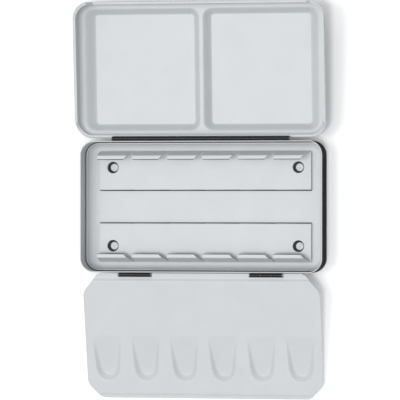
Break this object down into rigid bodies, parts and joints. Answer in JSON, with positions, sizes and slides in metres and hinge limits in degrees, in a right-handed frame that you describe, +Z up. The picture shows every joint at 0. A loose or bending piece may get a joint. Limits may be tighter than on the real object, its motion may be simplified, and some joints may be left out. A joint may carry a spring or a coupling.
{
  "type": "watercolor pan set tin",
  "caption": "Open enamelled metal watercolour tin: base with a clip rack for half pans, hinged lid with mixing wells and a fold-out palette flap with thumb wells.",
  "frame": {"origin": "centre of the base's flat underside", "axes": "+Z up, +X along the hinges, +Y from the base towards the open lid"},
  "size_m": [0.1348, 0.2093, 0.0223],
  "materials": {
    "white_enamel": "gloss",
    "two_tone_lacquer": "gloss",
    "hinge_lacquer": "gloss",
    "pin_steel": "satin"
  },
  "bodies": {
    "base": {"base_shell": "two_tone_lacquer", "pan_tray": "white_enamel", "back_clip_rail": "white_enamel", "front_clip_rail": "white_enamel", "locating_studs": "white_enamel", "lid_hinge_base_leaf": "hinge_lacquer", "lid_hinge_pin": "pin_steel", "flap_hinge_left_base_leaf": "hinge_lacquer", "flap_hinge_left_pin": "pin_steel", "flap_hinge_right_base_leaf": "hinge_lacquer", "flap_hinge_right_pin": "pin_steel"},
    "lid": {"lid_shell": "two_tone_lacquer", "lid_hinge_lid_leaf": "hinge_lacquer"},
    "flap": {"mixing_flap": "white_enamel", "flap_hinge_left_flap_leaf": "hinge_lacquer", "flap_hinge_right_flap_leaf": "hinge_lacquer"}
  },
  "joints": [
    {"name": "lid_hinge", "type": "hinge", "parent": "base", "child": "lid", "pos_m": [0, 0.0358, 0.0147], "axis": [1, 0, 0], "range_deg": [0, 176.5]},
    {"name": "flap_hinge", "type": "hinge", "parent": "base", "child": "flap", "pos_m": [0, -0.0358, 0.0147], "axis": [-1, 0, 0], "range_deg": [0, 192.5]}
  ]
}
